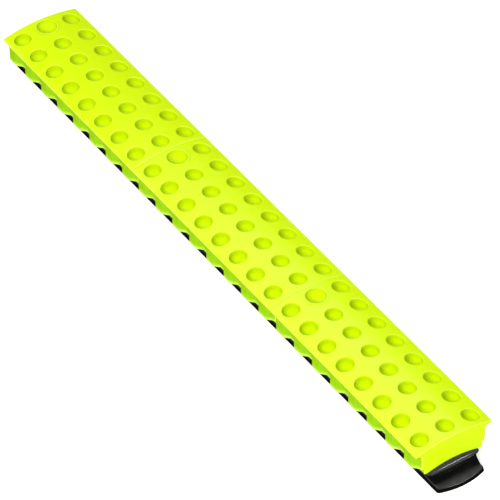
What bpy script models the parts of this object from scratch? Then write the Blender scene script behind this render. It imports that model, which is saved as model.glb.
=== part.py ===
"""Sectional rubber speed bump.

Three moulded cap blocks, each with three columns of eight round pockets, stand end to end on one
rubber base rail. In the first row of every cap the middle pocket is a wider well. A bolt in the well
clamps the cap to the rail through a steel sleeve and a tee nut, and a dished plug closes the well.

Lengths are in millimetres and are scaled to metres by MM. X runs along the bump, Y across it, Z up.
The origin is on the road, at the centre of the footprint.
"""

import math

import bmesh
import bpy
from mathutils import Matrix, Vector

MM = 0.001
CLEARANCE = 0.3

# Pocket grid
CAP_NAMES = ("far", "middle", "near")
CAP_COUNT = len(CAP_NAMES)
ROWS = 8
ROW_PITCH = 38.1
COLUMN_PITCH = 36.8
COLUMNS = (-1, 0, 1)
POCKET_RADIUS = 11.8
POCKET_SHOULDER_RADIUS = 11.0
POCKET_SHOULDER_DEPTH = 5.0
POCKET_BOWL_RADIUS = 7.6
POCKET_BOWL_DEPTH = 11.0
POCKET_DEPTH = 13.0

# Cap block
CAP_SPACING = ROWS * ROW_PITCH
CAP_LENGTH = CAP_SPACING - CLEARANCE
CAP_HALF_WIDTH = 55.4
CAP_TOP_Z = 66.3
CAP_CROWN = 7.6
LIP_THICKNESS = 2.6
LIP_ROOT_HALF_WIDTH = 46.0
LIP_ROOT_Z = 53.8
WEB_HALF_WIDTH = 47.2
LOBE_HALF_WIDTH = 53.8
LOBE_FLAT = 7.5
LOBE_FOOT = 14.5
LOBE_ROUND = 4.0
LOBE_FILLET = 3.0
LOBE_DRAFT = 0.4
LOBE_BOTTOM_Z = 31.0
BLOCK_CORNER_RADIUS = 3.0
STEP_HALF_WIDTH = 41.9
STEP_CHAMFER = 1.4
STEP_BOTTOM_Z = 22.0
RECESS_HALF_WIDTH = 38.6

# Base rail: its deck carries the caps. The crown grows from nothing at CROWN_START_Z to its full fall
DECK_Z = 27.2
DECK_CROWN = 5.6
CROWN_START_Z = 16.0
RAIL_END_REACH = 23.0
FLANGE_HALF_WIDTH = 34.5
FLANGE_EDGE_Z = 6.4
FLANGE_END_BOW = 6.2
FLANGE_CORNER_RADIUS = 3.6
FLANGE_BOTTOM_ROUND = 0.8
FLANGE_TOP_ROUND = 1.8
FLANGE_TOP_BREAK = 0.5
WAIST_HALF_WIDTH = 34.0
WAIST_Z = 12.5
WAIST_END_REACH = 1.5
WAIST_CORNER_RADIUS = 2.0
BEAD_HALF_WIDTH = 37.8
BEAD_Z = 22.0
BEAD_END_REACH = 5.3
BEAD_END_BOW = 4.6
BEAD_CORNER_RADIUS = 2.5
BEAD_ROUND = 2.2
BEAD_SHOULDER = 0.6

# Curves of the rail's side: shares of the height, and of the way from one plan to the next
COVE_CURVE = ((0.25, 0.6), (0.6, 0.88))
NECK_CURVE = ((0.5, 0.3), (0.78, 0.88))

# Anchor set in each well
WELL_RADIUS = 14.8
WELL_FLOOR_Z = 45.0
SLEEVE_RADIUS = 8.0
SLEEVE_BORE_RADIUS = 5.5
WASHER_RADIUS = 12.5
WASHER_THICKNESS = 2.0
BOLT_RADIUS = 5.0
BOLT_HEAD_ACROSS_FLATS = 16.0
BOLT_HEAD_HEIGHT = 6.4
BOLT_TIP_Z = 3.0
NUT_FLANGE_RADIUS = 14.0
NUT_FLANGE_THICKNESS = 3.0
NUT_RECESS_Z = 4.8
NUT_BARREL_RADIUS = 7.4
NUT_BORE_RADIUS = 5.4
NUT_TOP_Z = 14.0
PLUG_RIM_RADIUS = 15.6
PLUG_RIM_HEIGHT = 0.9
PLUG_RADIUS = 14.4
PLUG_INNER_RADIUS = 13.4
PLUG_DISH_Z = 57.0
PLUG_WALL = 1.8

# Overshoot of the cutting bodies, the overlap of bodies that are joined, and curve resolution
OVERSHOOT = 5.0
OVERLAP = 2.0
CORNER_SEGMENTS = 2
CROWN_SEGMENTS = 12
ARCH_SEGMENTS = 12
DECK_SEGMENTS = 8
POCKET_SEGMENTS = 10
TURNED_SEGMENTS = 16
END_SEGMENTS = 8
BOWL_SEGMENTS = 4
EDGE_BREAK = 0.4
FLAT_TOLERANCE = 0.1
SHARP_ANGLE = 30

COLOURS = {
    "cap_yellow": ((0.62, 0.90, 0.02, 1.0), 0.45, 0.0),
    "rail_black": ((0.015, 0.015, 0.016, 1.0), 0.55, 0.0),
    "zinc_steel": ((0.55, 0.56, 0.57, 1.0), 0.35, 1.0),
}


def clear_scene():
    """Remove every object that the file starts with."""
    for obj in list(bpy.data.objects):
        bpy.data.objects.remove(obj, do_unlink=True)


def new_collection(name):
    """A collection under the scene's own."""
    collection = bpy.data.collections.new(name)
    bpy.context.scene.collection.children.link(collection)
    return collection


def new_material(name):
    """A Principled material from the colour table."""
    colour, roughness, metallic = COLOURS[name]
    material = bpy.data.materials.new(name)
    material.use_nodes = True
    shader = material.node_tree.nodes["Principled BSDF"]
    shader.inputs["Base Color"].default_value = colour
    shader.inputs["Roughness"].default_value = roughness
    shader.inputs["Metallic"].default_value = metallic
    return material


def add_object(name, mesh, collection, material=None):
    """Link a mesh as an object, in millimetres turned to metres."""
    obj = bpy.data.objects.new(name, mesh)
    collection.objects.link(obj)
    if material:
        mesh.materials.clear()
        mesh.materials.append(material)
    return obj


def mesh_from(bm, name):
    """Close a bmesh in millimetres into a mesh in metres, with its faces pointing out."""
    bmesh.ops.recalc_face_normals(bm, faces=bm.faces)
    bmesh.ops.scale(bm, vec=(MM, MM, MM), verts=bm.verts)
    mesh = bpy.data.meshes.new(name)
    bm.to_mesh(mesh)
    bm.free()
    return mesh


def add_cutter(name, mesh, collection):
    """A helper body that is never rendered or built."""
    cutter = add_object(name, mesh, collection)
    cutter.hide_render = True
    cutter.display_type = "WIRE"
    return cutter


def add_boolean(obj, other, operation):
    """An exact Boolean with another object."""
    modifier = obj.modifiers.new(operation.lower() + "_" + other.name, "BOOLEAN")
    modifier.operation = operation
    modifier.object = other
    modifier.solver = "EXACT"


def baked_mesh(obj, name):
    """The evaluated mesh of an object as plain data, so that several objects can share it."""
    bpy.context.view_layer.update()
    graph = bpy.context.evaluated_depsgraph_get()
    mesh = bpy.data.meshes.new_from_object(obj.evaluated_get(graph))
    mesh.name = name
    return mesh


def shade(mesh):
    """Smooth shading, with steep edges left sharp."""
    mesh.shade_smooth()
    mesh.set_sharp_from_angle(angle=math.radians(SHARP_ANGLE))


def prism_mesh(name, section, length):
    """A (y, z) section swept along X, centred on x = 0."""
    bm = bmesh.new()
    start = [bm.verts.new((-length / 2, y, z)) for y, z in section]
    face = bm.faces.new(start)
    swept = bmesh.ops.extrude_face_region(bm, geom=[face])
    moved = [item for item in swept["geom"] if isinstance(item, bmesh.types.BMVert)]
    bmesh.ops.translate(bm, vec=(length, 0, 0), verts=moved)
    return mesh_from(bm, name)


def loft_mesh(name, levels):
    """Plan outlines with equal point counts, each at its own height, joined and closed at both ends."""
    bm = bmesh.new()
    rings = [[bm.verts.new((x, y, z)) for x, y in outline] for z, outline in levels]
    for lower, upper in zip(rings, rings[1:]):
        for i, corner in enumerate(lower):
            j = (i + 1) % len(lower)
            bm.faces.new((corner, lower[j], upper[j], upper[i]))
    bm.faces.new(rings[0])
    bm.faces.new(rings[-1])
    return mesh_from(bm, name)


def turned_object(name, profile, collection, closed, segments=TURNED_SEGMENTS):
    """A profile of (radius, z) points turned round Z. It runs down its outer side."""
    bm = bmesh.new()
    points = [bm.verts.new((radius, 0, z)) for radius, z in profile]
    for first, second in zip(points, points[1:]):
        bm.edges.new((first, second))
    if closed:
        bm.edges.new((points[-1], points[0]))
    obj = add_object(name, mesh_from(bm, name), collection)
    screw = obj.modifiers.new("turn", "SCREW")
    screw.steps = segments
    screw.render_steps = segments
    screw.use_merge_vertices = True
    screw.merge_threshold = 0.00001
    return obj


def crown_z(y, top, crown, half_width):
    """Height of a crowned surface that falls by crown at half_width."""
    return top - crown * (y / half_width) ** 2


def spread(low, high, steps):
    """steps + 1 evenly spaced values from low to high."""
    return [low + (high - low) * i / steps for i in range(steps + 1)]


def row_x(row):
    """Distance of a pocket row from the middle of its cap."""
    return (row - (ROWS - 1) / 2) * ROW_PITCH


def rounded_outline(corners):
    """A closed plan outline. Each corner is (x, y, radius), and is replaced by an arc of its radius."""
    outline = []
    for i, (x, y, radius) in enumerate(corners):
        corner = Vector((x, y))
        if radius == 0:
            outline.append(corner)
            continue
        before = (Vector(corners[i - 1][:2]) - corner).normalized()
        after = (Vector(corners[(i + 1) % len(corners)][:2]) - corner).normalized()
        half_angle = before.angle(after) / 2
        tangent = radius / math.tan(half_angle)
        centre = corner + (before + after).normalized() * radius / math.sin(half_angle)
        start = corner + before * tangent - centre
        end = corner + after * tangent - centre
        for share in spread(0, 1, CORNER_SEGMENTS):
            outline.append(centre + start.slerp(end, share).normalized() * radius)
    return outline


def scalloped_outline(draft):
    """Plan of the cap block: on both long sides, a rounded lobe stands out beside each outer pocket."""
    side = [(-CAP_LENGTH / 2, -WEB_HALF_WIDTH, BLOCK_CORNER_RADIUS)]
    foot = LOBE_FOOT - draft
    flat = LOBE_FLAT - draft
    face_y = draft - LOBE_HALF_WIDTH
    for row in range(ROWS):
        x = row_x(row)
        side.append((x - foot, -WEB_HALF_WIDTH, LOBE_FILLET))
        side.append((x - flat, face_y, LOBE_ROUND))
        side.append((x + flat, face_y, LOBE_ROUND))
        side.append((x + foot, -WEB_HALF_WIDTH, LOBE_FILLET))
    side.append((CAP_LENGTH / 2, -WEB_HALF_WIDTH, BLOCK_CORNER_RADIUS))
    return rounded_outline(side + [(-x, -y, radius) for x, y, radius in side])


def plate_section():
    """Section of the crowned top plate, from a thin lip to its thick root on the block."""
    edge_z = CAP_TOP_Z - CAP_CROWN
    top = [
        (y, crown_z(y, CAP_TOP_Z, CAP_CROWN, CAP_HALF_WIDTH))
        for y in spread(-CAP_HALF_WIDTH, CAP_HALF_WIDTH, CROWN_SEGMENTS)
    ]
    under = [
        (CAP_HALF_WIDTH, edge_z - LIP_THICKNESS),
        (LIP_ROOT_HALF_WIDTH, LIP_ROOT_Z),
        (-LIP_ROOT_HALF_WIDTH, LIP_ROOT_Z),
        (-CAP_HALF_WIDTH, edge_z - LIP_THICKNESS),
    ]
    return top + under


def step_section():
    """Section of the lower step, with its outer bottom corners taken off."""
    top = LOBE_BOTTOM_Z + OVERLAP
    right = [
        (STEP_HALF_WIDTH, top),
        (STEP_HALF_WIDTH, STEP_BOTTOM_Z + 2 * STEP_CHAMFER),
        (STEP_HALF_WIDTH - STEP_CHAMFER, STEP_BOTTOM_Z),
    ]
    return right + [(-y, z) for y, z in reversed(right)]


def recess_section():
    """Section of the cap's underside recess, which fits the deck's crown."""
    arch = [
        (y, crown_z(y, DECK_Z + CLEARANCE, DECK_CROWN, BEAD_HALF_WIDTH))
        for y in spread(-RECESS_HALF_WIDTH, RECESS_HALF_WIDTH, ARCH_SEGMENTS)
    ]
    below = STEP_BOTTOM_Z - OVERSHOOT
    return arch + [(RECESS_HALF_WIDTH, below), (-RECESS_HALF_WIDTH, below)]


def pocket_profile():
    """Drafted pocket with a bowl at the bottom. It starts above the cap, so that it cuts clear."""
    slope = (POCKET_RADIUS - POCKET_SHOULDER_RADIUS) / POCKET_SHOULDER_DEPTH
    return [
        (0, CAP_TOP_Z + OVERSHOOT),
        (POCKET_RADIUS + slope * OVERSHOOT, CAP_TOP_Z + OVERSHOOT),
        (POCKET_SHOULDER_RADIUS, CAP_TOP_Z - POCKET_SHOULDER_DEPTH),
        (POCKET_BOWL_RADIUS, CAP_TOP_Z - POCKET_BOWL_DEPTH),
        (0, CAP_TOP_Z - POCKET_DEPTH),
    ]


def well_profile():
    """Anchor well: a plain bore for the plug and washer, then the hole for the sleeve."""
    return [
        (0, CAP_TOP_Z + OVERSHOOT),
        (WELL_RADIUS, CAP_TOP_Z + OVERSHOOT),
        (WELL_RADIUS, WELL_FLOOR_Z),
        (SLEEVE_RADIUS + CLEARANCE, WELL_FLOOR_Z),
        (SLEEVE_RADIUS + CLEARANCE, STEP_BOTTOM_Z - OVERSHOOT),
        (0, STEP_BOTTOM_Z - OVERSHOOT),
    ]


def pocket_cutters(cutters):
    """One cutter body for every pocket and the well. Each pocket keeps its depth below the crown."""
    pocket = turned_object("pocket_cutter", pocket_profile(), cutters, False, POCKET_SEGMENTS)
    well = turned_object("well_cutter", well_profile(), cutters, False)
    pocket_mesh = baked_mesh(pocket, "pocket_cut")
    well_mesh = baked_mesh(well, "well_cut")
    bm = bmesh.new()
    for row in range(ROWS):
        for column in COLUMNS:
            is_well = row == 0 and column == 0
            start = len(bm.verts)
            bm.from_mesh(well_mesh if is_well else pocket_mesh)
            bm.verts.ensure_lookup_table()
            y = column * COLUMN_PITCH
            fall = CAP_TOP_Z - crown_z(y, CAP_TOP_Z, CAP_CROWN, CAP_HALF_WIDTH)
            place = Vector((row_x(row), y, -fall)) * MM
            bmesh.ops.translate(bm, vec=place, verts=bm.verts[start:])
    mesh = bpy.data.meshes.new("pocket_grid_cut")
    bm.to_mesh(mesh)
    bm.free()
    bpy.data.objects.remove(pocket)
    bpy.data.objects.remove(well)
    return add_cutter("pocket_grid", mesh, cutters)


def cap_mesh(cutters):
    """The mesh that all three caps share, centred on the middle of a cap."""
    levels = [
        (LOBE_BOTTOM_Z, scalloped_outline(LOBE_DRAFT)),
        (LIP_ROOT_Z + OVERLAP, scalloped_outline(0)),
    ]
    block = add_object("cap_block", loft_mesh("cap_block", levels), cutters)
    plate = add_cutter("top_plate", prism_mesh("top_plate", plate_section(), CAP_LENGTH), cutters)
    step = add_cutter("lower_step", prism_mesh("lower_step", step_section(), CAP_LENGTH), cutters)
    recess_mesh = prism_mesh("deck_recess", recess_section(), CAP_LENGTH + OVERSHOOT)
    recess = add_cutter("deck_recess", recess_mesh, cutters)
    pockets = pocket_cutters(cutters)
    add_boolean(block, plate, "UNION")
    add_boolean(block, step, "UNION")
    add_boolean(block, recess, "DIFFERENCE")
    add_boolean(block, pockets, "DIFFERENCE")
    mesh = baked_mesh(block, "cap")
    shade(mesh)
    bpy.data.objects.remove(block)
    return mesh


def rail_outline(half_width, end_reach, end_bow, corner_radius):
    """Plan of the rail at one height: straight sides, and ends that bow out between rounded corners."""
    tip = CAP_COUNT * CAP_SPACING / 2 + end_reach
    end = []
    for step, y in enumerate(spread(-half_width, half_width, END_SEGMENTS)):
        radius = corner_radius if step in (0, END_SEGMENTS) else 0
        end.append((tip - end_bow * (y / half_width) ** 2, y, radius))
    return rounded_outline(end + [(-x, -y, radius) for x, y, radius in end])


def rail_levels():
    """Heights of the rail with their outlines: flange, cove, waist, cove and rounded bead."""
    flange = (FLANGE_HALF_WIDTH, RAIL_END_REACH, FLANGE_END_BOW, FLANGE_CORNER_RADIUS)
    waist = (WAIST_HALF_WIDTH, WAIST_END_REACH, 0.0, WAIST_CORNER_RADIUS)
    bead = (BEAD_HALF_WIDTH, BEAD_END_REACH, BEAD_END_BOW, BEAD_CORNER_RADIUS)

    def between(first, second, share):
        return [a + (b - a) * share for a, b in zip(first, second)]

    def inset(plan, amount):
        return (plan[0] - amount, plan[1] - amount, plan[2], plan[3])

    plans = [
        (0, inset(flange, FLANGE_BOTTOM_ROUND)),
        (FLANGE_BOTTOM_ROUND, flange),
        (FLANGE_EDGE_Z - FLANGE_TOP_ROUND, flange),
        (FLANGE_EDGE_Z - FLANGE_TOP_BREAK, inset(flange, FLANGE_TOP_BREAK)),
        (FLANGE_EDGE_Z, inset(flange, FLANGE_TOP_ROUND)),
    ]
    for rise, share in COVE_CURVE:
        plans.append((FLANGE_EDGE_Z + rise * (WAIST_Z - FLANGE_EDGE_Z), between(flange, waist, share)))
    plans.append((WAIST_Z, waist))
    for rise, share in NECK_CURVE:
        plans.append((WAIST_Z + rise * (BEAD_Z - WAIST_Z), between(waist, bead, share)))
    plans += [
        (BEAD_Z, bead),
        ((BEAD_Z + DECK_Z) / 2, inset(bead, BEAD_SHOULDER)),
        (DECK_Z, inset(bead, BEAD_ROUND)),
    ]
    return [(z, rail_outline(*plan)) for z, plan in plans]


def crown_deck(mesh):
    """Split the deck into strips along X, and lower the bead and deck towards both sides."""
    bm = bmesh.new()
    bm.from_mesh(mesh)
    deck_level = (DECK_Z - FLAT_TOLERANCE) * MM
    for y in spread(-BEAD_HALF_WIDTH, BEAD_HALF_WIDTH, DECK_SEGMENTS)[1:-1]:
        top = [face for face in bm.faces if face.calc_center_median().z > deck_level]
        geometry = set(top)
        for face in top:
            geometry.update(face.edges)
            geometry.update(face.verts)
        bmesh.ops.bisect_plane(bm, geom=list(geometry), plane_co=(0, y * MM, 0), plane_no=(0, 1, 0))
    for vert in bm.verts:
        above = max(0.0, vert.co.z - CROWN_START_Z * MM) / ((DECK_Z - CROWN_START_Z) * MM)
        fall = DECK_CROWN * MM * (vert.co.y / (BEAD_HALF_WIDTH * MM)) ** 2
        vert.co.z -= fall * above
    bm.to_mesh(mesh)
    bm.free()


def anchor_x(index):
    """Distance of a cap's anchor from the middle of the bump."""
    return cap_x(index) + row_x(0)


def cap_x(index):
    """Distance of a cap's middle from the middle of the bump."""
    return (index - (CAP_COUNT - 1) / 2) * CAP_SPACING


def add_rail(parts, cutters, material):
    """The base rail, bored for the sleeves and recessed below for the tee nuts."""
    mesh = loft_mesh("base_rail", rail_levels())
    crown_deck(mesh)
    shade(mesh)
    rail = add_object("base_rail", mesh, parts, material)
    hole = [
        (0, DECK_Z + OVERSHOOT),
        (SLEEVE_RADIUS + CLEARANCE, DECK_Z + OVERSHOOT),
        (SLEEVE_RADIUS + CLEARANCE, NUT_RECESS_Z),
        (NUT_FLANGE_RADIUS + CLEARANCE, NUT_RECESS_Z),
        (NUT_FLANGE_RADIUS + CLEARANCE, -OVERSHOOT),
        (0, -OVERSHOOT),
    ]
    for index in range(CAP_COUNT):
        cutter = turned_object(f"anchor_hole_{index}", hole, cutters, False)
        cutter.location.x = anchor_x(index) * MM
        cutter.hide_render = True
        cutter.display_type = "WIRE"
        add_boolean(rail, cutter, "DIFFERENCE")


def sleeve_profile():
    """Steel tube that keeps the bolt from crushing the rubber."""
    top = WELL_FLOOR_Z - CLEARANCE
    bottom = NUT_TOP_Z + CLEARANCE
    return [
        (SLEEVE_RADIUS - EDGE_BREAK, top),
        (SLEEVE_RADIUS, top - EDGE_BREAK),
        (SLEEVE_RADIUS, bottom + EDGE_BREAK),
        (SLEEVE_RADIUS - EDGE_BREAK, bottom),
        (SLEEVE_BORE_RADIUS, bottom),
        (SLEEVE_BORE_RADIUS, top),
    ]


def washer_profile():
    """Flat washer on the floor of the well."""
    bottom = WELL_FLOOR_Z + CLEARANCE
    top = bottom + WASHER_THICKNESS
    return [
        (WASHER_RADIUS - EDGE_BREAK, top),
        (WASHER_RADIUS, top - EDGE_BREAK),
        (WASHER_RADIUS, bottom + EDGE_BREAK),
        (WASHER_RADIUS - EDGE_BREAK, bottom),
        (SLEEVE_BORE_RADIUS, bottom),
        (SLEEVE_BORE_RADIUS, top),
    ]


def nut_profile():
    """Tee nut: a round flange in the rail's underside and a barrel inside its bore."""
    flange_top = NUT_RECESS_Z - CLEARANCE
    flange_bottom = flange_top - NUT_FLANGE_THICKNESS
    return [
        (NUT_BARREL_RADIUS - EDGE_BREAK, NUT_TOP_Z),
        (NUT_BARREL_RADIUS, NUT_TOP_Z - EDGE_BREAK),
        (NUT_BARREL_RADIUS, flange_top),
        (NUT_FLANGE_RADIUS, flange_top),
        (NUT_FLANGE_RADIUS, flange_bottom + EDGE_BREAK),
        (NUT_FLANGE_RADIUS - EDGE_BREAK, flange_bottom),
        (NUT_BORE_RADIUS, flange_bottom),
        (NUT_BORE_RADIUS, NUT_TOP_Z),
    ]


def plug_profile():
    """Dished plug: a rounded rim on the cap's surface, a wall in the well and a bowl between."""
    rim_top = CAP_TOP_Z + PLUG_RIM_HEIGHT
    rim_under = CAP_TOP_Z + CLEARANCE
    bowl_top = CAP_TOP_Z
    bowl = []
    for angle in spread(0, math.pi / 2, BOWL_SEGMENTS):
        height = (bowl_top - PLUG_DISH_Z) * (1 - math.cos(angle))
        bowl.append((PLUG_INNER_RADIUS * math.sin(angle), PLUG_DISH_Z + height))
    outside = [
        (PLUG_INNER_RADIUS + 2 * EDGE_BREAK, rim_top),
        (PLUG_RIM_RADIUS - EDGE_BREAK, rim_top),
        (PLUG_RIM_RADIUS, rim_top - EDGE_BREAK),
        (PLUG_RIM_RADIUS, rim_under),
        (PLUG_RADIUS, rim_under),
        (PLUG_RADIUS, PLUG_DISH_Z),
        (PLUG_RADIUS - 2 * PLUG_WALL, PLUG_DISH_Z - PLUG_WALL),
        (0, PLUG_DISH_Z - PLUG_WALL),
    ]
    return bowl + outside


def bolt_mesh():
    """Hexagon head with its shank, as one closed body."""
    head_bottom = WELL_FLOOR_Z + 2 * CLEARANCE + WASHER_THICKNESS
    shank_top = head_bottom + BOLT_HEAD_HEIGHT / 2
    bm = bmesh.new()
    head_radius = BOLT_HEAD_ACROSS_FLATS / math.sqrt(3)
    head_place = Matrix.Translation((0, 0, head_bottom + BOLT_HEAD_HEIGHT / 2))
    bmesh.ops.create_cone(
        bm, cap_ends=True, segments=6, radius1=head_radius, radius2=head_radius,
        depth=BOLT_HEAD_HEIGHT, matrix=head_place,
    )
    head = mesh_from(bm, "bolt_head")
    bm = bmesh.new()
    shank_place = Matrix.Translation((0, 0, (shank_top + BOLT_TIP_Z) / 2))
    bmesh.ops.create_cone(
        bm, cap_ends=True, segments=TURNED_SEGMENTS, radius1=BOLT_RADIUS, radius2=BOLT_RADIUS,
        depth=shank_top - BOLT_TIP_Z, matrix=shank_place,
    )
    return head, mesh_from(bm, "bolt_shank")


def add_bolt_mesh(cutters):
    """Join the bolt's head and shank."""
    head_mesh, shank_mesh = bolt_mesh()
    head = add_object("bolt_head", head_mesh, cutters)
    shank = add_cutter("bolt_shank", shank_mesh, cutters)
    add_boolean(head, shank, "UNION")
    mesh = baked_mesh(head, "anchor_bolt")
    shade(mesh)
    bpy.data.objects.remove(head)
    return mesh


def turned_mesh(name, profile, cutters, closed):
    """A turned shape as plain mesh data, for several objects to share."""
    obj = turned_object(name, profile, cutters, closed)
    mesh = baked_mesh(obj, name)
    shade(mesh)
    bpy.data.objects.remove(obj)
    return mesh


def add_anchors(parts, cutters, steel, yellow):
    """Plug, bolt, washer, sleeve and tee nut of each cap."""
    meshes = {
        "anchor_bolt": (add_bolt_mesh(cutters), steel),
        "anchor_washer": (turned_mesh("anchor_washer", washer_profile(), cutters, True), steel),
        "anchor_sleeve": (turned_mesh("anchor_sleeve", sleeve_profile(), cutters, True), steel),
        "anchor_tee_nut": (turned_mesh("anchor_tee_nut", nut_profile(), cutters, True), steel),
        "anchor_plug": (turned_mesh("anchor_plug", plug_profile(), cutters, False), yellow),
    }
    for index in range(CAP_COUNT):
        for name, (mesh, material) in meshes.items():
            piece = add_object(f"{name}_{CAP_NAMES[index]}", mesh, parts, material)
            piece.location.x = anchor_x(index) * MM


def main():
    clear_scene()
    parts = new_collection("rubber_speed_bump")
    cutters = new_collection("cutters")
    yellow = new_material("cap_yellow")
    black = new_material("rail_black")
    steel = new_material("zinc_steel")
    mesh = cap_mesh(cutters)
    for index in range(CAP_COUNT):
        cap = add_object(f"cap_{CAP_NAMES[index]}", mesh, parts, yellow)
        cap.location.x = cap_x(index) * MM
    add_rail(parts, cutters, black)
    add_anchors(parts, cutters, steel, yellow)


main()
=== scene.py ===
import math

import bmesh
import bpy
from mathutils import Matrix, Vector


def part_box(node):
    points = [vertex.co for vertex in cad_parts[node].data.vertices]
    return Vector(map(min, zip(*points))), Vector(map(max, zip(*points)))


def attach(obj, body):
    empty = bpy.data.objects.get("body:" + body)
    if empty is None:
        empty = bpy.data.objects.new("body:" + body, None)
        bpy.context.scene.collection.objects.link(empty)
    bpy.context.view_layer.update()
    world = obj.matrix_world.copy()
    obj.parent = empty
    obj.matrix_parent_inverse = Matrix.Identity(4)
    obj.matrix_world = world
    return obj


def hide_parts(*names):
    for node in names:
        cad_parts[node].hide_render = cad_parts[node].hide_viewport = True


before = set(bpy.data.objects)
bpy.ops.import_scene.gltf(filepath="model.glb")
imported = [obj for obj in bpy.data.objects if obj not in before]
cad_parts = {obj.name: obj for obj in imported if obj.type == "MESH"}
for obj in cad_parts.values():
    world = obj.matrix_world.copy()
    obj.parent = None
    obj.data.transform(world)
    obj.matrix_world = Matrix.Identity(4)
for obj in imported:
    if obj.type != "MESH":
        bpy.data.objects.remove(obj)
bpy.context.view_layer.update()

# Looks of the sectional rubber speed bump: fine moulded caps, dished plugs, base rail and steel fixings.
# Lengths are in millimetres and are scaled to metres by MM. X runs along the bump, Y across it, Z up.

MM = 0.001
BODY = "root"
CAP_NAMES = ("far", "middle", "near")

# Cap block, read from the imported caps
CAP_LOW, CAP_HIGH = [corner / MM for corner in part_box("cap_middle")]
CAP_SPACING = CAP_LOW.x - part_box("cap_far")[0].x / MM
CAP_END = (CAP_HIGH.x - CAP_LOW.x) / 2
HALF_WIDTH = CAP_HIGH.y
TOP_Z = CAP_HIGH.z
STEP_BOTTOM_Z = CAP_LOW.z

# Cap block, design sizes
ROWS = 8
COLUMNS = 3
ROW_PITCH = CAP_SPACING / ROWS
COLUMN_PITCH = 36.8
CROWN = 7.6
LIP_THICKNESS = 2.6
LIP_ROOT_HALF_WIDTH = 46.0
LIP_ROOT_Z = 53.8
WEB_HALF_WIDTH = 47.2
LOBE_HALF_WIDTH = 53.8
LOBE_FLAT = 7.5
LOBE_FOOT = 14.5
LOBE_ROUND = 4.0
LOBE_FILLET = 3.0
LOBE_DRAFT = 0.4
LOBE_BOTTOM_Z = 31.0
BLOCK_CORNER_RADIUS = 3.0
STEP_HALF_WIDTH = 41.9
STEP_CHAMFER = 1.4
DECK_Z = 27.2
DECK_CROWN = 5.6
CROWN_START_Z = 16.0
DECK_CROWN_HALF_WIDTH = 37.8
DECK_GAP = 0.3

# Pockets and wells
POCKET_RADIUS = 11.3
POCKET_SHOULDER_RADIUS = 10.9
POCKET_SHOULDER_DEPTH = 5.0
POCKET_DEPTH = 13.0
BOWL_FLATNESS = 0.7
POCKET_RIM_ROUND = 1.1
POCKET_RIM_BAND = 0.5
WELL_RADIUS = 14.8
WELL_FLOOR_Z = 45.0
WELL_RIM_ROUND = 0.4
SLEEVE_HOLE_RADIUS = 8.3

# Rounding of moulded edges
EDGE_ROUND = 0.9
LIP_UNDER_ROUND = 0.8
END_ROUND = 1.0
INNER_FILLET = 1.5
INNER_FILLET_SHARE = 0.6
LOBE_EDGE_ROUND = 0.9
SMOOTH_ANGLE = 40

# How pale the edges are, from 0 to 1: partly worn rubber, partly painted highlight
RIM_WEAR_AND_HIGHLIGHT = 0.25
TOP_EDGE_WEAR_AND_HIGHLIGHT = 0.4
LIP_UNDER_WEAR_AND_HIGHLIGHT = 0.6
LOBE_FOOT_WEAR_AND_HIGHLIGHT = 0.8
STEP_WEAR_AND_HIGHLIGHT = 0.3
END_WEAR_AND_HIGHLIGHT = 0.8
LOWER_END_WEAR_AND_HIGHLIGHT_SHARE = 0.3

# How much of the side walls' painted shade the lip's lower edge has, and of the pockets' painted shade a
# bowl's bottom
LIP_UNDER_SHADE = 0.5
BOWL_BOTTOM_DEPTH = 0.6

# Divisions of the fine skin
CELL_DIVISIONS = 12
END_CELL_MARGIN = 2.5
END_CORNER_SHARES = (0.75, 0.5)
WALL_SHARES = (0.35, 0.75)
HOLE_SEGMENTS = 48
PLUG_SEGMENTS = 72

# Holes for the sleeves and tee nuts
CUTTER_CLEARANCE = 2.0
WELL_FLOOR_MARGIN = 1.0
TEE_NUT_SEAT_RADIUS = 14.3
TEE_NUT_SEAT_Z = 4.8

# Underside of the lip, which slopes from its outer edge to its root
LIP_UNDER_SLOPE = (TOP_Z - CROWN - LIP_THICKNESS - LIP_ROOT_Z) / (HALF_WIDTH - LIP_ROOT_HALF_WIDTH)
LIP_UNDER_TILT = math.atan(LIP_UNDER_SLOPE)


def crown_z(y):
    """Height of the crowned top at a distance y from the middle line."""
    return TOP_Z - CROWN * (y / HALF_WIDTH) ** 2


def deck_arch_z(y):
    """Height of the arch under the cap, which fits the rail's crowned deck."""
    return DECK_Z + DECK_GAP - DECK_CROWN * (y / DECK_CROWN_HALF_WIDTH) ** 2


def deck_arch_edge():
    """Distance from the middle line at which the arch runs out into the cap's flat underside."""
    return DECK_CROWN_HALF_WIDTH * math.sqrt((DECK_Z + DECK_GAP - STEP_BOTTOM_Z) / DECK_CROWN)


def spread(low, high, steps):
    """steps + 1 evenly spaced values from low to high."""
    return [low + (high - low) * i / steps for i in range(steps + 1)]


def arc(centre, radius, start, end, steps):
    """Points of an arc about a (y, z) centre, with its angles in degrees."""
    angles = [math.radians(a) for a in spread(start, end, steps)]
    return [(centre[0] + radius * math.cos(a), centre[1] + radius * math.sin(a)) for a in angles]


def rounded_corner(before, corner, after, radius, steps):
    """Arc that rounds the corner between two straight runs of plane points."""
    corner = Vector(corner)
    back = (Vector(before) - corner).normalized()
    ahead = (Vector(after) - corner).normalized()
    half_angle = back.angle(ahead) / 2
    tangent = radius / math.tan(half_angle)
    centre = corner + (back + ahead).normalized() * radius / math.sin(half_angle)
    start = corner + back * tangent - centre
    end = corner + ahead * tangent - centre
    return [centre + start.slerp(end, s).normalized() * radius for s in spread(0, 1, steps)]


# ---------------------------------------------------------------- mesh helpers


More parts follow.
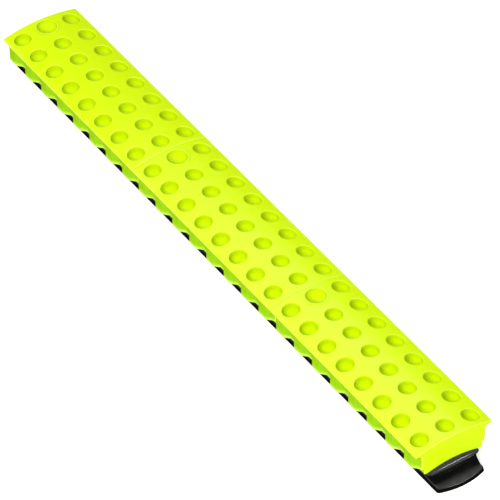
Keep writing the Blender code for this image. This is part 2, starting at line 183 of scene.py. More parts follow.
def new_mesh_object(name, bm):
    """Turn a bmesh in millimetres into a smooth-shaded object in metres."""
    bmesh.ops.recalc_face_normals(bm, faces=bm.faces)
    bmesh.ops.scale(bm, vec=(MM, MM, MM), verts=bm.verts)
    mesh = bpy.data.meshes.new(name)
    bm.to_mesh(mesh)
    bm.free()
    mesh.shade_smooth()
    mesh.set_sharp_from_angle(angle=math.radians(SMOOTH_ANGLE))
    obj = bpy.data.objects.new(name, mesh)
    bpy.context.scene.collection.objects.link(obj)
    return obj


def weight_normals(obj):
    """Let large flat faces keep their own normals beside rounded edges."""
    weighting = obj.modifiers.new("weighted_normals", "WEIGHTED_NORMAL")
    weighting.keep_sharp = True


class Skin:
    """A bmesh whose vertices carry an edge value (pale: worn rubber and painted highlight), a pocket
    depth (painted shade and a matt finish) and a side-wall value (painted shade).
    """

    def __init__(self):
        self.bm = bmesh.new()
        layers = self.bm.verts.layers.float
        self.edge = layers.new("edge")
        self.depth = layers.new("depth")
        self.side = layers.new("side")

    def vert(self, x, y, z, edge=0.0, depth=0.0, side=0.0):
        vert = self.bm.verts.new((x, y, z))
        vert[self.edge] = edge
        vert[self.depth] = depth
        vert[self.side] = side
        return vert

    def strip(self, first, second, closed):
        """Faces between two rows of vertices."""
        count = len(first) if closed else len(first) - 1
        for i in range(count):
            j = (i + 1) % len(first)
            self.bm.faces.new((first[i], first[j], second[j], second[i]))

    def fan(self, ring, centre):
        for i, vert in enumerate(ring):
            self.bm.faces.new((vert, ring[(i + 1) % len(ring)], centre))

    def weld(self):
        bmesh.ops.remove_doubles(self.bm, verts=self.bm.verts, dist=0.0005)


# ---------------------------------------------------------------- cap block


def lobe_half():
    """(distance from a lobe's middle, reach) points from its flat face to the web beside it."""
    flat = (0.0, LOBE_HALF_WIDTH)
    shoulder = (LOBE_FLAT, LOBE_HALF_WIDTH)
    foot = (LOBE_FOOT, WEB_HALF_WIDTH)
    web = (ROW_PITCH / 2, WEB_HALF_WIDTH)
    points = [flat, (LOBE_FLAT * 0.4, LOBE_HALF_WIDTH)]
    points += rounded_corner(flat, shoulder, foot, LOBE_ROUND, 3)
    points += rounded_corner(shoulder, foot, web, LOBE_FILLET, 3)
    return [tuple(p) for p in points] + [web]


def block_reach(x):
    """How far the side wall reaches at a place x along the cap, lobes and end corners included."""
    row = min(ROWS - 1, max(0, int((x + CAP_SPACING / 2) // ROW_PITCH)))
    offset = abs(x - row_x(row))
    half = lobe_half()
    reach = WEB_HALF_WIDTH
    for (x0, y0), (x1, y1) in zip(half, half[1:]):
        if x0 <= offset <= x1:
            reach = y0 + (y1 - y0) * (offset - x0) / max(x1 - x0, 1e-6)
    from_end = CAP_END - abs(x)
    if from_end < BLOCK_CORNER_RADIUS:
        drop = BLOCK_CORNER_RADIUS - from_end
        round_off = BLOCK_CORNER_RADIUS - math.sqrt(max(0.0, BLOCK_CORNER_RADIUS**2 - drop**2))
        reach = min(reach, WEB_HALF_WIDTH - round_off)
    return reach


def row_x(row):
    """Distance of a pocket row from the middle of its cap."""
    return (row - (ROWS - 1) / 2) * ROW_PITCH


def cell_stations(row):
    """Places along X at which the skin is divided, over one pocket row."""
    offsets = [x for x, _ in lobe_half()]
    offsets = [-x for x in reversed(offsets)] + offsets[1:]
    places = [row_x(row) + x for x in offsets]
    last = CAP_END - END_ROUND
    limit = last - END_CELL_MARGIN
    corner = [CAP_END - BLOCK_CORNER_RADIUS * share for share in END_CORNER_SHARES]
    if row == 0:
        places = [x for x in places if x > -limit] + [-x for x in corner + [last]]
    if row == ROWS - 1:
        places = [x for x in places if x < limit] + corner + [last]
    return sorted(places)


def top_edge_arc():
    """(y, z) points of the rounded edge from the crowned top to the lip's upright face."""
    slope = math.degrees(math.atan(2 * CROWN / HALF_WIDTH))
    centre_y = HALF_WIDTH - EDGE_ROUND
    start = math.radians(90 - slope)
    centre_z = crown_z(centre_y + EDGE_ROUND * math.cos(start)) - EDGE_ROUND * math.sin(start)
    return arc((centre_y, centre_z), EDGE_ROUND, 90 - slope, 0, 3)


def lip_under_z(y):
    """Height of the lip's underside at a distance y from the middle line."""
    return LIP_ROOT_Z + LIP_UNDER_SLOPE * (y - LIP_ROOT_HALF_WIDTH)


def lip_under_arc():
    """(y, z) points of the rounded edge from the lip's upright face to its underside."""
    centre_y = HALF_WIDTH - LIP_UNDER_ROUND
    touch_z = lip_under_z(centre_y + LIP_UNDER_ROUND * math.sin(LIP_UNDER_TILT))
    centre_z = touch_z + LIP_UNDER_ROUND * math.cos(LIP_UNDER_TILT)
    return arc((centre_y, centre_z), LIP_UNDER_ROUND, 0, math.degrees(LIP_UNDER_TILT) - 90, 3)


def inner_fillet_arc(reach):
    """(y, z) points of the fillet from the lip's underside to a side wall at its reach."""
    space = HALF_WIDTH - LIP_UNDER_ROUND - reach
    radius = min(INNER_FILLET, space * INNER_FILLET_SHARE)
    centre_y = reach + radius
    touch_z = lip_under_z(centre_y - radius * math.sin(LIP_UNDER_TILT))
    centre_z = touch_z - radius * math.cos(LIP_UNDER_TILT)
    return arc((centre_y, centre_z), radius, 90 + math.degrees(LIP_UNDER_TILT), 180, 3)


def side_wall(reach, top_z):
    """(y, z, edge value) points down a side wall, round its foot and in to the step below."""
    low_z = LOBE_BOTTOM_Z + LOBE_EDGE_ROUND
    points = []
    for share in WALL_SHARES:
        points.append((reach - LOBE_DRAFT * share, top_z + (low_z - top_z) * share, 0.0))
    foot = (reach - LOBE_DRAFT - LOBE_EDGE_ROUND, low_z)
    points += [(y, z, LOBE_FOOT_WEAR_AND_HIGHLIGHT) for y, z in arc(foot, LOBE_EDGE_ROUND, 0, -90, 3)]
    fillet = (STEP_HALF_WIDTH + LOBE_EDGE_ROUND, LOBE_BOTTOM_Z - LOBE_EDGE_ROUND)
    points += [(y, z, 0.0) for y, z in arc(fillet, LOBE_EDGE_ROUND, 90, 180, 2)]
    return points


def step_foot():
    """(y, z) points of the rounded lower edge of the step, twice as tall as it is wide."""
    points = []
    for angle in spread(0, 90, 3):
        turn = math.radians(angle)
        y = STEP_HALF_WIDTH - STEP_CHAMFER * (1 - math.cos(turn))
        points.append((y, STEP_BOTTOM_Z + 2 * STEP_CHAMFER * (1 - math.sin(turn))))
    return points


def section_half(reach):
    """Section of the block on the +Y side, from the top's edge round to the middle line.

    Each point is (y, z, edge value, side value). The edge value pales a point as worn rubber and painted
    highlight; the side value darkens it as painted shade."""
    fillet = inner_fillet_arc(reach)
    points = [(y, z, TOP_EDGE_WEAR_AND_HIGHLIGHT, 0.0) for y, z in top_edge_arc()]
    points += [(y, z, LIP_UNDER_WEAR_AND_HIGHLIGHT, LIP_UNDER_SHADE) for y, z in lip_under_arc()]
    points += [(y, z, 0.0, 1.0) for y, z in fillet]
    points += [(y, z, edge, 1.0) for y, z, edge in side_wall(reach, fillet[-1][1])]
    points += [(y, z, STEP_WEAR_AND_HIGHLIGHT, 1.0) for y, z in step_foot()]
    points += [(y, deck_arch_z(y), 0.0, 1.0) for y in spread(deck_arch_edge(), 0, 8)]
    return points


def section(reach):
    """Whole section, from the +Y edge of the top round below to the -Y edge."""
    half = section_half(reach)
    return half + [(-y, z, edge, side) for y, z, edge, side in reversed(half[:-1])]


def inset_ring(ring, amount):
    """Move a closed clockwise ring of (y, z) points inwards by an amount."""
    moved = []
    for i, point in enumerate(ring):
        here = Vector(point)
        before = (here - Vector(ring[i - 1])).normalized()
        after = (Vector(ring[(i + 1) % len(ring)]) - here).normalized()
        normal_before = Vector((before.y, -before.x))
        normal_after = Vector((after.y, -after.x))
        mitre = (normal_before + normal_after) / max(0.4, 1 + normal_before.dot(normal_after))
        moved.append(here + mitre * amount)
    return moved


def cell_lines():
    """Places across Y that divide each of the three pocket columns."""
    edge = top_edge_arc()[0][0]
    borders = [-edge, -COLUMN_PITCH / 2, COLUMN_PITCH / 2, edge]
    return [spread(low, high, CELL_DIVISIONS) for low, high in zip(borders, borders[1:])]


def cell_border(stations, lines):
    """(x, y) points anticlockwise round one cell of the top."""
    south = [(x, lines[0]) for x in stations]
    east = [(stations[-1], y) for y in lines[1:]]
    north = [(x, lines[-1]) for x in reversed(stations[:-1])]
    west = [(stations[0], y) for y in reversed(lines[1:-1])]
    return south + east + north + west


def mouth_rings(radius, rim):
    """Rings of a rounded mouth, as (radius, drop below the crown, height, edge value, depth value)."""
    rings = []
    for angle in spread(0, 90, 4):
        turn = math.radians(angle)
        ring_radius = radius + rim * (1 - math.sin(turn))
        # The rim is paled: partly worn rubber, partly painted highlight
        pale = RIM_WEAR_AND_HIGHLIGHT * math.sin(2 * turn)
        rings.append((ring_radius, rim * (1 - math.cos(turn)), 0.0, pale, 0.0))
    return rings


def well_rings():
    """Rings of a well: its mouth, its wall and its flat floor, with a height where there is no drop."""
    rings = mouth_rings(WELL_RADIUS, WELL_RIM_ROUND)
    rings.append((WELL_RADIUS, None, WELL_FLOOR_Z, 0.0, 1.0))
    rings.append((SLEEVE_HOLE_RADIUS + WELL_FLOOR_MARGIN, None, WELL_FLOOR_Z, 0.0, 1.0))
    return rings


def pocket_rings(rim_z):
    """Rings of a pocket: its mouth, its wall down to the shoulder and its bowl."""
    shoulder_z = rim_z - POCKET_SHOULDER_DEPTH
    rings = mouth_rings(POCKET_RADIUS, POCKET_RIM_ROUND)
    rings.append((POCKET_RADIUS, POCKET_RIM_ROUND + POCKET_RIM_BAND, 0.0, 0.0, 1.0))
    rings.append((POCKET_SHOULDER_RADIUS, None, shoulder_z, 0.0, 1.0))
    for angle in spread(0, 90, 9)[1:-1]:
        turn = math.radians(angle)
        height = shoulder_z - (POCKET_DEPTH - POCKET_SHOULDER_DEPTH) * math.sin(turn)
        # The depth value sets painted shade and a matt finish, less of both at the bowl's bottom
        depth = 1.0 - (1.0 - BOWL_BOTTOM_DEPTH) * math.sin(turn) ** 4
        bowl_radius = POCKET_SHOULDER_RADIUS * math.cos(turn) ** BOWL_FLATNESS
        rings.append((bowl_radius, None, height, 0.0, depth))
    return rings


def add_pocket(skin, centre, stations, lines, is_well):
    """One cell of the top: a flat border that turns into a rounded rim, a wall and a bowl."""
    centre_x, centre_y = centre
    rim_z = crown_z(centre_y)
    floor_z = WELL_FLOOR_Z if is_well else rim_z - POCKET_DEPTH
    rings = well_rings() if is_well else pocket_rings(rim_z)
    border = cell_border(stations, lines)
    directions = [Vector((x - centre_x, y - centre_y)).normalized() for x, y in border]
    rows = [[skin.vert(x, y, crown_z(y)) for x, y in border]]
    middle = []
    for (x, y), direction in zip(border, directions):
        rim_x = centre_x + direction.x * rings[0][0]
        rim_y = centre_y + direction.y * rings[0][0]
        middle.append(skin.vert((x + rim_x) / 2, (y + rim_y) / 2, crown_z((y + rim_y) / 2)))
    rows.append(middle)
    for radius, drop, height, edge, depth in rings:
        row = []
        for direction in directions:
            x = centre_x + direction.x * radius
            y = centre_y + direction.y * radius
            z = height if drop is None else crown_z(y) - drop
            row.append(skin.vert(x, y, z, edge, depth))
        rows.append(row)
    for first, second in zip(rows, rows[1:]):
        skin.strip(first, second, closed=True)
    skin.fan(rows[-1], skin.vert(centre_x, centre_y, floor_z, 0.0, BOWL_BOTTOM_DEPTH))


def add_cap_shell(skin):
    """Side walls, lip, underside and rounded ends of a cap."""
    stations = sorted({round(x, 4) for row in range(ROWS) for x in cell_stations(row)})
    rows = []
    for x in stations:
        rows.append([skin.vert(x, y, z, edge, 0.0, side) for y, z, edge, side in section(block_reach(x))])
    for first, second in zip(rows, rows[1:]):
        skin.strip(first, second, closed=False)
    for end in (-1, 1):
        add_cap_end(skin, end)


def add_cap_end(skin, end):
    """Rounded end of a cap, on the -X or +X side."""
    top_ys = [y for lines in cell_lines() for y in lines[:-1]][1:]
    rings = []
    for angle in spread(0, 90, 3):
        turn = math.radians(angle)
        x = CAP_END - END_ROUND + END_ROUND * math.sin(turn)
        outline = [(y, crown_z(y)) for y in top_ys] + [point[:2] for point in section(block_reach(x))]
        # The end's edges are paled: partly worn rubber, partly painted highlight
        pale = END_WEAR_AND_HIGHLIGHT * math.sin(2 * turn)
        ring = []
        for y, z in inset_ring(outline, END_ROUND * (1 - math.cos(turn))):
            wear_and_highlight = pale if z > LIP_ROOT_Z else LOWER_END_WEAR_AND_HIGHLIGHT_SHARE * pale
            ring.append(skin.vert(end * x, y, z, wear_and_highlight))
        rings.append(ring)
    for first, second in zip(rings, rings[1:]):
        skin.strip(first, second, closed=True)
    skin.bm.faces.new(rings[-1])


def cap_skin():
    """The fine mesh of a cap, about the middle of the cap."""
    skin = Skin()
    lines = cell_lines()
    for row in range(ROWS):
        stations = cell_stations(row)
        for column in range(COLUMNS):
            centre = (row_x(row), (column - 1) * COLUMN_PITCH)
            is_well = row == 0 and column == 1
            add_pocket(skin, centre, stations, lines[column], is_well)
    add_cap_shell(skin)
    skin.weld()
    long_faces = [face for face in skin.bm.faces if len(face.verts) > 4]
    bmesh.ops.triangulate(skin.bm, faces=long_faces)
    return skin.bm


def add_caps(material):
    """Three caps, each a copy of one mesh, bored for its sleeve."""
    source = cap_skin()
    for index, name in enumerate(CAP_NAMES):
        bm = source.copy()
        centre_x = (index - 1) * CAP_SPACING
        bmesh.ops.translate(bm, vec=(centre_x, 0, 0), verts=bm.verts)
        cap = new_mesh_object(f"cap_{name}_moulding", bm)
        cut_top = WELL_FLOOR_Z + CUTTER_CLEARANCE
        cut_hole(cap, centre_x + row_x(0), SLEEVE_HOLE_RADIUS, STEP_BOTTOM_Z, cut_top)
        weight_normals(cap)
        dress(cap, material, "cap_yellow", f"cap_{name}")
    source.free()


def cut_hole(obj, x, radius, low, high):
    """Cut a round upright hole from below the height low up to the height high."""
    bottom = low - CUTTER_CLEARANCE
    bm = bmesh.new()
    place = Matrix.Translation((x, 0, (bottom + high) / 2))
    bmesh.ops.create_cone(
        bm, cap_ends=True, segments=HOLE_SEGMENTS, radius1=radius, radius2=radius,
        depth=high - bottom, matrix=place,
    )
    cutter = new_mesh_object("hole_cutter", bm)
    modifier = obj.modifiers.new("hole", "BOOLEAN")
    modifier.operation = "DIFFERENCE"
    modifier.object = cutter
    modifier.solver = "EXACT"
    apply_modifiers(obj)
    bpy.data.objects.remove(cutter)


def apply_modifiers(obj):
    """Replace an object's mesh by its evaluated one."""
    bpy.context.view_layer.update()
    graph = bpy.context.evaluated_depsgraph_get()
    mesh = bpy.data.meshes.new_from_object(obj.evaluated_get(graph))
    obj.modifiers.clear()
    obj.data = mesh


def dress(piece, material, slot, *nodes):
    """Give a piece its material and its body, and hide the CAD nodes that it stands for."""
    piece.data.materials.clear()
    piece.data.materials.append(material)
    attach(piece, BODY)
    if nodes:
        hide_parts(*nodes)


# ---------------------------------------------------------------- plugs


PLUG_RIM_RADIUS = 15.6
PLUG_RIM_HEIGHT = 0.6
PLUG_RADIUS = 14.4
PLUG_INNER_RADIUS = 13.4
PLUG_DISH_Z = 57.0
PLUG_WALL = 1.8
PLUG_RIM_SEAT = 0.3
PLUG_BOWL_DROP = 0.6


def plug_profile():
    """(radius, z, edge, depth) points of a dished plug, from its bowl's middle to its underside."""
    seat_z = TOP_Z + PLUG_RIM_SEAT
    bowl_rise = TOP_Z - PLUG_BOWL_DROP - PLUG_DISH_Z
    points = []
    for angle in spread(0, 90, 10):
        turn = math.radians(angle)
        z = PLUG_DISH_Z + bowl_rise * (1 - math.cos(turn))
        points.append((PLUG_INNER_RADIUS * math.sin(turn), z, 0.0, 1.0))
    crest = (PLUG_INNER_RADIUS + PLUG_RIM_RADIUS) / 2
    half = (PLUG_RIM_RADIUS - PLUG_INNER_RADIUS) / 2
    # The plug's rim is paled: partly worn rubber, partly painted highlight
    for angle in spread(165, 0, 8):
        turn = math.radians(angle)
        z = seat_z + (PLUG_RIM_HEIGHT - PLUG_RIM_SEAT) * math.sin(turn)
        points.append((crest + half * math.cos(turn), z, RIM_WEAR_AND_HIGHLIGHT * math.sin(turn), 0.0))
    points += [
        (PLUG_RADIUS, seat_z, 0.0, 0.0),
        (PLUG_RADIUS, PLUG_DISH_Z, 0.0, 1.0),
        (PLUG_RADIUS - PLUG_WALL, PLUG_DISH_Z - PLUG_WALL * 0.7, 0.0, 1.0),
        (PLUG_RADIUS - 2 * PLUG_WALL, PLUG_DISH_Z - PLUG_WALL, 0.0, 1.0),
        (0.0, PLUG_DISH_Z - PLUG_WALL, 0.0, 1.0),
    ]
    return points


def add_plugs(material):
    """One plug in each well."""
    for name in CAP_NAMES:
        low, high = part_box(f"anchor_plug_{name}")
        centre_x = (low.x + high.x) / 2 / MM
        skin = Skin()
        rings = []
        profile = plug_profile()
        for radius, z, edge, depth in profile[1:-1]:
            ring = []
            for angle in spread(0, 360, PLUG_SEGMENTS)[:-1]:
                turn = math.radians(angle)
                x = centre_x + radius * math.cos(turn)
                ring.append(skin.vert(x, radius * math.sin(turn), z, edge, depth))
            rings.append(ring)
        for first, second in zip(rings, rings[1:]):
            skin.strip(first, second, closed=True)
        skin.fan(rings[0], skin.vert(centre_x, 0, profile[0][1], 0.0, 1.0))
        skin.fan(rings[-1], skin.vert(centre_x, 0, profile[-1][1], 0.0, 1.0))
        plug = new_mesh_object(f"plug_{name}_moulding", skin.bm)
        dress(plug, material, "cap_yellow", f"anchor_plug_{name}")


# ---------------------------------------------------------------- base rail


RAIL_BODY_END = CAP_SPACING * len(CAP_NAMES) / 2
# Plans of the rail: half width, end reach past the caps, end bow and corner radius
FLANGE_PLAN = (34.5, 23.0, 6.2, 3.6)
WAIST_PLAN = (34.0, 1.5, 0.3, 2.0)
BEAD_PLAN = (37.8, 5.3, 4.6, 2.5)
FLANGE_BOTTOM_ROUND = 0.8
FLANGE_EDGE_Z = 6.4
FLANGE_LEAN = 0.9
FLANGE_TOP_ROUND = 1.2
SHELF_WIDTH = 8.0
SHELF_RISE = 2.0
SHELF_WEAR_AND_SHEEN = 0.7
SHELF_INNER_WEAR_AND_SHEEN = 0.1
COVE_CURVE = 1.2
NECK_WEAR_AND_SHEEN_CURVE = 4
WAIST_Z = 12.6
NECK_Z = 16.2
BEAD_Z = 22.0
BEAD_TOP_INSET = 5.4


def between(first, second, share):
    """A plan part of the way from one plan to the next."""
    return tuple(a + (b - a) * share for a, b in zip(first, second))


def inset(plan, amount):
    """A plan whose sides and ends are drawn in by an amount."""
    return (plan[0] - amount, plan[1] - amount, plan[2], plan[3])


def rail_plans():
    """(height, plan, edge value) levels from the road up: flange, cove, waist and round bead. The edge
    value greys the flange top, shelf and bead, partly as scuffs and partly as painted sheen.
    """
    levels = []
    # The third value of each level greys the rubber: partly scuffs, partly painted sheen
    for turn in spread(0, math.pi / 2, 4):
        z = FLANGE_BOTTOM_ROUND * (1 - math.cos(turn))
        levels.append((z, inset(FLANGE_PLAN, FLANGE_BOTTOM_ROUND * (1 - math.sin(turn))), 0.0))
    for turn in spread(0, math.pi / 2, 5):
        z = FLANGE_EDGE_Z - FLANGE_TOP_ROUND * (1 - math.sin(turn))
        drawn_in = FLANGE_LEAN + FLANGE_TOP_ROUND * (1 - math.cos(turn))
        levels.append((z, inset(FLANGE_PLAN, drawn_in), math.sin(turn)))
    shelf_z = FLANGE_EDGE_Z + SHELF_RISE
    edge = levels[-1][1]
    shelf = between(edge, WAIST_PLAN, SHELF_WIDTH / (edge[1] - WAIST_PLAN[1]))
    levels.append(((FLANGE_EDGE_Z + shelf_z) / 2, between(edge, shelf, 0.5), SHELF_WEAR_AND_SHEEN))
    levels.append((shelf_z, shelf, SHELF_INNER_WEAR_AND_SHEEN))
    for share in spread(0, 1, 4)[1:]:
        z = shelf_z + (WAIST_Z - shelf_z) * share ** COVE_CURVE
        levels.append((z, between(shelf, WAIST_PLAN, share), 0.0))
    for turn in spread(0, math.pi / 2, 8):
        z = BEAD_Z - (BEAD_Z - NECK_Z) * math.cos(turn)
        wear_and_highlight = (turn / (math.pi / 2)) ** NECK_WEAR_AND_SHEEN_CURVE
        levels.append((z, between(WAIST_PLAN, BEAD_PLAN, math.sin(turn)), wear_and_highlight))
    for turn in spread(0, math.pi / 2, 7)[1:]:
        z = BEAD_Z + (DECK_Z - BEAD_Z) * math.sin(turn)
        levels.append((z, inset(BEAD_PLAN, BEAD_TOP_INSET * (1 - math.cos(turn))), 1.0))
    return levels


def rail_ring(half_width, reach, bow, radius):
    """Plan of the rail at one height, anticlockwise: ends that bow out between rounded corners."""
    tip = RAIL_BODY_END + reach

    def bowed_x(y):
        return tip - bow * (y / half_width) ** 2

    inner = half_width - radius * 1.1
    end = [(bowed_x(y), y) for y in spread(-inner, inner, 22)]
    before = (bowed_x(-inner), -inner)
    corner = (bowed_x(-half_width), -half_width)
    turn = rounded_corner((0.0, -half_width), corner, before, radius, 7)
    low = [tuple(p) for p in turn]
    high = [(x, -y) for x, y in reversed(low)]
    end = low + end[1:-1] + high
    return end + [(-x, -y) for x, y in end]


def add_rail(material):
    """The base rail with its bead, cove and flange, bored for the sleeves and tee nuts."""
    skin = Skin()
    rings = []
    for z, plan, wear_and_highlight in rail_plans():
        ring = []
        above = max(0.0, z - CROWN_START_Z) / (DECK_Z - CROWN_START_Z)
        for x, y in rail_ring(*plan):
            fall = DECK_CROWN * (y / DECK_CROWN_HALF_WIDTH) ** 2 * above
            ring.append(skin.vert(x, y, z - fall, wear_and_highlight))
        rings.append(ring)
    for first, second in zip(rings, rings[1:]):
        skin.strip(first, second, closed=True)
    skin.bm.faces.new(rings[0])
    close_deck(skin, rings[-1])
    rail = new_mesh_object("base_rail_moulding", skin.bm)
    for name in CAP_NAMES:
        low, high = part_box(f"anchor_sleeve_{name}")
        x = (low.x + high.x) / 2 / MM
        cut_hole(rail, x, SLEEVE_HOLE_RADIUS, 0.0, DECK_Z + 2 * CUTTER_CLEARANCE)
        cut_hole(rail, x, TEE_NUT_SEAT_RADIUS, 0.0, TEE_NUT_SEAT_Z)
    weight_normals(rail)
    dress(rail, material, "rail_black", "base_rail")


def close_deck(skin, ring):
    """Close the deck with strips along X, so that its crown is kept."""
    half = len(ring) // 2
    skin.strip(ring[:half], ring[half:][::-1], closed=False)


# ---------------------------------------------------------------- materials


class Shader:
    """A node material under construction."""

    def __init__(self, name):
        self.material = bpy.data.materials.new(name)
        self.material.use_nodes = True
        self.nodes = self.material.node_tree.nodes
        self.links = self.material.node_tree.links
        self.surface = self.nodes["Principled BSDF"]
        self.place = self.nodes.new("ShaderNodeTexCoord").outputs["Object"]

    def link(self, source, target):
        self.links.new(source, target)

    def noise(self, scale, detail=2.0, roughness=0.5, stretch=(1, 1, 1)):
        """Noise over object coordinates, in lumps per metre."""
        mapping = self.nodes.new("ShaderNodeMapping")
        mapping.inputs["Scale"].default_value = stretch
        self.link(self.place, mapping.inputs["Vector"])
        texture = self.nodes.new("ShaderNodeTexNoise")
        texture.inputs["Scale"].default_value = scale
        texture.inputs["Detail"].default_value = detail
        texture.inputs["Roughness"].default_value = roughness
        self.link(mapping.outputs["Vector"], texture.inputs["Vector"])
        return texture.outputs["Fac"]

    def attribute(self, name):
        node = self.nodes.new("ShaderNodeAttribute")
        node.attribute_name = name
        return node.outputs["Fac"]

    def remap(self, value, low, high, to_low, to_high):
        node = self.nodes.new("ShaderNodeMapRange")
        node.inputs["From Min"].default_value = low
        node.inputs["From Max"].default_value = high
        node.inputs["To Min"].default_value = to_low
        node.inputs["To Max"].default_value = to_high
        self.link(value, node.inputs["Value"])
        return node.outputs["Result"]

    def math(self, operation, first, second):
        node = self.nodes.new("ShaderNodeMath")
        node.operation = operation
        for socket, value in zip(node.inputs, (first, second)):
            if isinstance(value, (int, float)):
                socket.default_value = value
            else:
                self.link(value, socket)
        return node.outputs["Value"]

    def mix(self, factor, first, second):
        """Colour mix. A colour may be a tuple or a socket."""
        node = self.nodes.new("ShaderNodeMix")
        node.data_type = "RGBA"
        self.link(factor, node.inputs["Factor"])
        for socket, value in ((node.inputs[6], first), (node.inputs[7], second)):
            if isinstance(value, tuple):
                socket.default_value = value + (1.0,)
            else:
                self.link(value, socket)
        return node.outputs[2]

    def bump(self, height, strength, distance, normal=None):
        node = self.nodes.new("ShaderNodeBump")
        node.inputs["Strength"].default_value = strength
        node.inputs["Distance"].default_value = distance
        self.link(height, node.inputs["Height"])
        if normal:
            self.link(normal, node.inputs["Normal"])
        return node.outputs["Normal"]


CAP_COLOUR = (0.55, 0.76, 0.0)
CAP_MOTTLE_COLOUR = (0.50, 0.71, 0.0)
# Painted shade: the darker, greener colour of the side walls, step and lip underside
CAP_SIDE_SHADE_COLOUR = (0.20, 0.42, 0.0)
# Pale edges: partly worn rubber, partly painted highlight
CAP_PALE_WEAR_AND_HIGHLIGHT_COLOUR = (0.70, 0.88, 0.16)
# Painted shade: the darker colour of the pockets and plug bowls
CAP_POCKET_SHADE_COLOUR = (0.50, 0.66, 0.0)
CAP_MOTTLE = 0.25
CAP_SIDE_SHADE_SHARE = 0.9
CAP_ROUGHNESS = (0.24, 0.32)
CAP_DEEP_ROUGHNESS = 0.6
CAP_SPECULAR = 0.09
RAIL_COLOUR = (0.003, 0.003, 0.003)
RAIL_DUST_COLOUR = (0.009, 0.009, 0.009)
# Grey of the flange top, shelf and bead: partly scuffs, partly painted sheen
RAIL_WORN_AND_SHEEN_COLOUR = (0.045, 0.045, 0.045)
RAIL_DUST = 0.5
RAIL_ROUGHNESS = (0.16, 0.26)
RAIL_SPECULAR = 0.2
STEEL_DARK_COLOUR = (0.50, 0.51, 0.53)
STEEL_LIGHT_COLOUR = (0.66, 0.66, 0.64)
STEEL_ROUGHNESS = (0.26, 0.42)
SCRATCH_STRETCH = (1, 12, 1)


def cap_material():
    """Moulded fluorescent rubber: fine grain and faint mottling; rims and edges paler as worn rubber and
    painted highlight; side walls and pockets darker with painted shade.
    """
    shader = Shader("moulded_yellow_rubber")
    mottle = shader.remap(shader.noise(22, 4, 0.6), 0.35, 0.7, 0.0, CAP_MOTTLE)
    colour = shader.mix(mottle, CAP_COLOUR, CAP_MOTTLE_COLOUR)
    # Painted shade in the pockets and plug bowls
    colour = shader.mix(shader.attribute("depth"), colour, CAP_POCKET_SHADE_COLOUR)
    # Painted shade on the side walls, step and lip underside
    side = shader.math("MULTIPLY", shader.attribute("side"), CAP_SIDE_SHADE_SHARE)
    colour = shader.mix(side, colour, CAP_SIDE_SHADE_COLOUR)
    # Pale rims and edges: partly worn rubber, partly painted highlight
    pale_edge_noise = shader.remap(shader.noise(160, 3, 0.6), 0.3, 0.7, 0.35, 0.8)
    edge = shader.math("MULTIPLY", shader.attribute("edge"), pale_edge_noise)
    colour = shader.mix(edge, colour, CAP_PALE_WEAR_AND_HIGHLIGHT_COLOUR)
    shader.link(colour, shader.surface.inputs["Base Color"])
    gloss = shader.remap(shader.noise(60, 3, 0.6), 0.3, 0.7, *CAP_ROUGHNESS)
    matt = shader.math("MULTIPLY", shader.attribute("depth"), CAP_DEEP_ROUGHNESS)
    gloss = shader.math("ADD", gloss, matt)
    shader.link(gloss, shader.surface.inputs["Roughness"])
    shader.surface.inputs["Specular IOR Level"].default_value = CAP_SPECULAR
    swell = shader.bump(shader.noise(34, 1), 0.12, 0.0012)
    grain = shader.bump(shader.noise(1400, 2), 0.10, 0.00008, swell)
    shader.link(grain, shader.surface.inputs["Normal"])
    return shader.material


def rail_material():
    """Black moulded rubber: semi-gloss with fine grain and a little dust; its flange top, shelf and bead
    greyed, partly as scuffs and partly as painted sheen.
    """
    shader = Shader("moulded_black_rubber")
    dust = shader.remap(shader.noise(45, 5, 0.65), 0.5, 0.8, 0.0, RAIL_DUST)
    colour = shader.mix(dust, RAIL_COLOUR, RAIL_DUST_COLOUR)
    # Greyed flange top, shelf and bead: partly scuffs, partly painted sheen
    wear_and_highlight = shader.remap(shader.noise(120, 3, 0.6), 0.3, 0.7, 0.6, 1.0)
    wear_and_highlight = shader.math("MULTIPLY", shader.attribute("edge"), wear_and_highlight)
    colour = shader.mix(wear_and_highlight, colour, RAIL_WORN_AND_SHEEN_COLOUR)
    shader.link(colour, shader.surface.inputs["Base Color"])
    gloss = shader.remap(shader.noise(80, 4, 0.6), 0.3, 0.7, *RAIL_ROUGHNESS)
    shader.link(gloss, shader.surface.inputs["Roughness"])
    shader.surface.inputs["Specular IOR Level"].default_value = RAIL_SPECULAR
    waves = shader.bump(shader.noise(70, 3), 0.08, 0.0012)
    grain = shader.bump(shader.noise(1600, 2), 0.06, 0.00006, waves)
    shader.link(grain, shader.surface.inputs["Normal"])
    return shader.material


def steel_material():
    """Zinc-plated steel: cloudy plating with fine scratches."""
    shader = Shader("zinc_plated_steel")
    cloud = shader.remap(shader.noise(240, 4, 0.6), 0.35, 0.7, 0.0, 1.0)
    colour = shader.mix(cloud, STEEL_DARK_COLOUR, STEEL_LIGHT_COLOUR)
    shader.link(colour, shader.surface.inputs["Base Color"])
    shader.surface.inputs["Metallic"].default_value = 1.0
    gloss = shader.remap(shader.noise(500, 3, 0.6), 0.3, 0.7, *STEEL_ROUGHNESS)
    shader.link(gloss, shader.surface.inputs["Roughness"])
    scratches = shader.bump(shader.noise(900, 2, 0.5, SCRATCH_STRETCH), 0.15, 0.00005)
    shader.link(scratches, shader.surface.inputs["Normal"])
    return shader.material


# ---------------------------------------------------------------- studio


FLOOR_HALF_SIZE = 20000
FLOOR_COLOUR = (0.92, 0.92, 0.92, 1.0)
FLOOR_GLOW = 0.4
DAYLIGHT = 0.68
WHITE = (1.0, 1.0, 1.0, 1.0)
MIDDLE = (0, 0, 0)
BEHIND_FAR_CAP = (-0.40, 0.30, 0)
RAIL_END = (0.46, 0, 0.02)


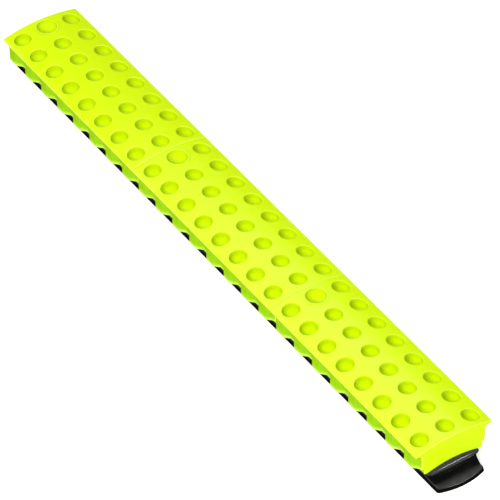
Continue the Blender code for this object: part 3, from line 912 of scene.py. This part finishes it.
def add_floor():
    """Plain pale floor, part of the studio."""
    bm = bmesh.new()
    bmesh.ops.create_grid(bm, x_segments=1, y_segments=1, size=FLOOR_HALF_SIZE)
    floor = new_mesh_object("studio_floor", bm)
    material = bpy.data.materials.new("studio_white")
    material.use_nodes = True
    surface = material.node_tree.nodes["Principled BSDF"]
    surface.inputs["Base Color"].default_value = FLOOR_COLOUR
    surface.inputs["Roughness"].default_value = 0.9
    surface.inputs["Specular IOR Level"].default_value = 0.1
    surface.inputs["Emission Color"].default_value = WHITE
    surface.inputs["Emission Strength"].default_value = FLOOR_GLOW
    floor.data.materials.append(material)
    floor.visible_glossy = False


def add_area(name, place, aim, size, power, diffuse=True, glossy=True):
    """A soft area light at a place, turned to its aim."""
    data = bpy.data.lights.new(name, "AREA")
    data.shape = "RECTANGLE"
    data.size, data.size_y = size
    data.energy = power
    light = bpy.data.objects.new(name, data)
    bpy.context.scene.collection.objects.link(light)
    light.location = place
    light.rotation_mode = "QUATERNION"
    light.rotation_quaternion = (Vector(aim) - Vector(place)).to_track_quat("-Z", "Y")
    light.visible_camera = False
    light.visible_diffuse = diffuse
    light.visible_glossy = glossy


def add_studio():
    """Even daylight from the world, with soft boxes for shape and sheen."""
    world = bpy.data.worlds.new("studio")
    bpy.context.scene.world = world
    world.use_nodes = True
    background = world.node_tree.nodes["Background"]
    background.inputs["Color"].default_value = WHITE
    background.inputs["Strength"].default_value = DAYLIGHT
    world.cycles_visibility.glossy = False
    add_area("key_overhead", (0.2, 0.1, 3.0), MIDDLE, (3.4, 3.0), 24, glossy=False)
    add_area("key_front", (2.3, -3.5, 3.4), MIDDLE, (1.8, 1.8), 235, glossy=False)
    add_area("top_sheen", (-0.40, 0.30, 0.90), BEHIND_FAR_CAP, (0.8, 0.8), 13, diffuse=False)
    add_area("shelf_sheen", (0.05, 0.90, 2.00), RAIL_END, (0.6, 0.5), 1.2, diffuse=False)
    add_area("edge_strip", (1.67, 0.58, 0.42), RAIL_END, (1.0, 0.14), 40, diffuse=False)
    bpy.context.scene.view_settings.view_transform = "Standard"


CAMERA_AZIMUTH = 55.86
CAMERA_ELEVATION = 42.93
CAMERA_DISTANCE = 5.803
CAMERA_LENS = 338.5
CAMERA_RIGHT = 0.0162
CAMERA_DOWN = 0.0410
CAMERA_SENSOR = 36
CAMERA_REACH = 100


def add_camera():
    """A long lens from above the near end's right."""
    azimuth = math.radians(CAMERA_AZIMUTH)
    elevation = math.radians(CAMERA_ELEVATION)
    level = math.cos(elevation)
    back = Vector((math.sin(azimuth) * level, -math.cos(azimuth) * level, math.sin(elevation)))
    right = Vector((0, 0, 1)).cross(back).normalized()
    up = back.cross(right)
    data = bpy.data.cameras.new("photo_view")
    data.sensor_width = CAMERA_SENSOR
    data.lens = CAMERA_LENS
    data.clip_end = CAMERA_REACH
    camera = bpy.data.objects.new("photo_view", data)
    bpy.context.scene.collection.objects.link(camera)
    aim = Vector((0, 0, TOP_Z * MM))
    camera.location = aim + back * CAMERA_DISTANCE + right * CAMERA_RIGHT - up * CAMERA_DOWN
    camera.rotation_mode = "QUATERNION"
    camera.rotation_quaternion = (-back).to_track_quat("-Z", "Y")
    bpy.context.scene.camera = camera


STEEL_NODES = ("anchor_bolt", "anchor_washer", "anchor_sleeve", "anchor_tee_nut")

yellow = cap_material()
black = rail_material()
steel = steel_material()
add_caps(yellow)
add_plugs(yellow)
add_rail(black)
for node_name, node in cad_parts.items():
    if node_name.startswith(STEEL_NODES):
        node.data.materials.clear()
        node.data.materials.append(steel)
add_floor()
add_studio()
add_camera()
